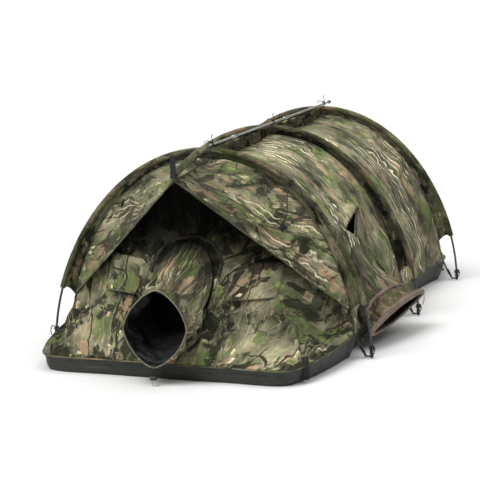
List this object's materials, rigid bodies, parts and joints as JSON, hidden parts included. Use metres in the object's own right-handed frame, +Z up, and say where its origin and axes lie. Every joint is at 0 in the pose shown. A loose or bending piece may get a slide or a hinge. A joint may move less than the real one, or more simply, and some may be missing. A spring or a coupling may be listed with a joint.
{
  "type": "layout field blind",
  "caption": "Low camouflage hide hung inside hoop poles, with a sloping front wall, a lens snoot, side snoots, a peaked hood and a coated tub floor.",
  "frame": {"origin": "on the ground, below the middle of the front hoop, on the underside of the floor", "axes": "+X to the right of a viewer at the front, +Y from the front hoop to the rear, +Z up"},
  "size_m": [1.3126, 2.6191, 0.7735],
  "materials": {
    "camo_fabric": "matt printed woven polyester in a leaf and bark camouflage",
    "coated_floor": "dark charcoal coated woven fabric with a slight sheen",
    "pole": "grey pultruded fibreglass, semi-gloss",
    "ferrule": "drawn aluminium tube, fine scratches",
    "webbing": "black ribbed webbing and cord",
    "black_plastic": "black moulded plastic, fine texture",
    "zip_metal": "dark coated zip slider metal"
  },
  "bodies": {
    "shelter": {"floor_tub": "coated_floor", "front_wall": "camo_fabric", "canopy_front": "camo_fabric", "canopy_rear": "camo_fabric", "rear_wall": "camo_fabric", "hood": "camo_fabric", "ridge_web": "camo_fabric", "ridge_sleeve": "camo_fabric", "peak_tab": "webbing", "ridge_pole_front": "pole", "ridge_pole_middle": "pole", "ridge_pole_rear": "pole", "ridge_ferrule_front": "ferrule", "ridge_ferrule_rear": "ferrule", "ridge_tip_cap": "black_plastic", "front_hoop_sleeve": "camo_fabric", "front_hoop_crown": "pole", "front_ridge_tie": "webbing", "front_leg_right": "pole", "front_ferrule_right": "ferrule", "front_foot_strap_right": "webbing", "front_leg_left": "pole", "front_ferrule_left": "ferrule", "front_foot_strap_left": "webbing", "middle_hoop_sleeve": "camo_fabric", "middle_hoop_crown": "pole", "middle_ridge_tie": "webbing", "middle_leg_right": "pole", "middle_ferrule_right": "ferrule", "middle_foot_strap_right": "webbing", "middle_leg_left": "pole", "middle_ferrule_left": "ferrule", "middle_foot_strap_left": "webbing", "rear_hoop_sleeve": "camo_fabric", "rear_hoop_crown": "pole", "rear_ridge_tie": "webbing", "rear_leg_right": "pole", "rear_ferrule_right": "ferrule", "rear_foot_strap_right": "webbing", "rear_leg_left": "pole", "rear_ferrule_left": "ferrule", "rear_foot_strap_left": "webbing"},
    "snoot_collar": {"snoot_collar": "camo_fabric"},
    "snoot_sleeve": {"snoot_sleeve": "camo_fabric"},
    "cord_lock": {"snoot_cord_lock": "black_plastic"},
    "cord_lock_button": {"snoot_cord_lock_plunger": "black_plastic"},
    "rear_door": {"rear_door": "camo_fabric"},
    "front_zip": {"front_zip_slider": "zip_metal"},
    "side_snoot_right": {"side_snoot_right": "camo_fabric"},
    "window_flap_right": {"window_flap_right": "camo_fabric"},
    "side_zip_right": {"side_zip_slider_right": "zip_metal"},
    "front_foot_right": {"front_foot_pin_right": "black_plastic"},
    "middle_foot_right": {"middle_foot_pin_right": "black_plastic"},
    "rear_foot_right": {"rear_foot_pin_right": "black_plastic"},
    "side_snoot_left": {"side_snoot_left": "camo_fabric"},
    "window_flap_left": {"window_flap_left": "camo_fabric"},
    "side_zip_left": {"side_zip_slider_left": "zip_metal"},
    "front_foot_left": {"front_foot_pin_left": "black_plastic"},
    "middle_foot_left": {"middle_foot_pin_left": "black_plastic"},
    "rear_foot_left": {"rear_foot_pin_left": "black_plastic"}
  },
  "joints": [
    {"name": "snoot_yaw", "type": "hinge", "parent": "shelter", "child": "snoot_collar", "pos_m": [0, -0.33282, 0.2843], "axis": [0, 0.6324, 0.7747], "range_deg": [-10, 10]},
    {"name": "snoot_pitch", "type": "hinge", "parent": "snoot_collar", "child": "snoot_sleeve", "pos_m": [0, -0.39961, 0.26073], "axis": [-1, 0, 0], "range_deg": [-3, 20]},
    {"name": "cord_lock_travel", "type": "slide", "parent": "snoot_sleeve", "child": "cord_lock", "axis": [0, 0, -1], "range_m": [0, 0.012]},
    {"name": "cord_lock_press", "type": "slide", "parent": "cord_lock", "child": "cord_lock_button", "axis": [-1, 0, 0], "range_m": [0, 0.004]},
    {"name": "rear_door_swing", "type": "hinge", "parent": "shelter", "child": "rear_door", "pos_m": [0, 1.9605, 0.1065], "axis": [-1, 0, 0], "range_deg": [0, 120]},
    {"name": "front_zip_travel", "type": "hinge", "parent": "shelter", "child": "front_zip", "pos_m": [0, -0.2778, 0.3517], "axis": [0, 0.7747, -0.6324], "range_deg": [0, 160]},
    {"name": "side_snoot_right_tilt", "type": "hinge", "parent": "shelter", "child": "side_snoot_right", "pos_m": [0.477, 0.39, 0.236], "axis": [0, -1, 0], "range_deg": [0, 35]},
    {"name": "window_flap_right_lift", "type": "hinge", "parent": "shelter", "child": "window_flap_right", "pos_m": [0.24, -0.184, 0.36], "axis": [-0.8144, -0.5802, 0], "range_deg": [0, 40]},
    {"name": "side_zip_right_travel", "type": "slide", "parent": "shelter", "child": "side_zip_right", "axis": [0.1887, -0.8876, -0.4202], "range_m": [0, 0.165]},
    {"name": "front_foot_right_pull", "type": "slide", "parent": "shelter", "child": "front_foot_right", "axis": [0.056, 0, -0.9984], "range_m": [0, 0.03]},
    {"name": "middle_foot_right_pull", "type": "slide", "parent": "shelter", "child": "middle_foot_right", "axis": [0.056, 0, -0.9984], "range_m": [0, 0.03]},
    {"name": "rear_foot_right_pull", "type": "slide", "parent": "shelter", "child": "rear_foot_right", "axis": [0.056, 0, -0.9984], "range_m": [0, 0.03]},
    {"name": "side_snoot_left_tilt", "type": "hinge", "parent": "shelter", "child": "side_snoot_left", "pos_m": [-0.477, 0.39, 0.236], "axis": [0, 1, 0], "range_deg": [0, 35]},
    {"name": "window_flap_left_lift", "type": "hinge", "parent": "shelter", "child": "window_flap_left", "pos_m": [-0.24, -0.184, 0.36], "axis": [-0.8144, 0.5802, 0], "range_deg": [0, 40]},
    {"name": "side_zip_left_travel", "type": "slide", "parent": "shelter", "child": "side_zip_left", "axis": [-0.1887, -0.8876, -0.4202], "range_m": [0, 0.165]},
    {"name": "front_foot_left_pull", "type": "slide", "parent": "shelter", "child": "front_foot_left", "axis": [-0.056, 0, -0.9984], "range_m": [0, 0.03]},
    {"name": "middle_foot_left_pull", "type": "slide", "parent": "shelter", "child": "middle_foot_left", "axis": [-0.056, 0, -0.9984], "range_m": [0, 0.03]},
    {"name": "rear_foot_left_pull", "type": "slide", "parent": "shelter", "child": "rear_foot_left", "axis": [-0.056, 0, -0.9984], "range_m": [0, 0.03]}
  ]
}
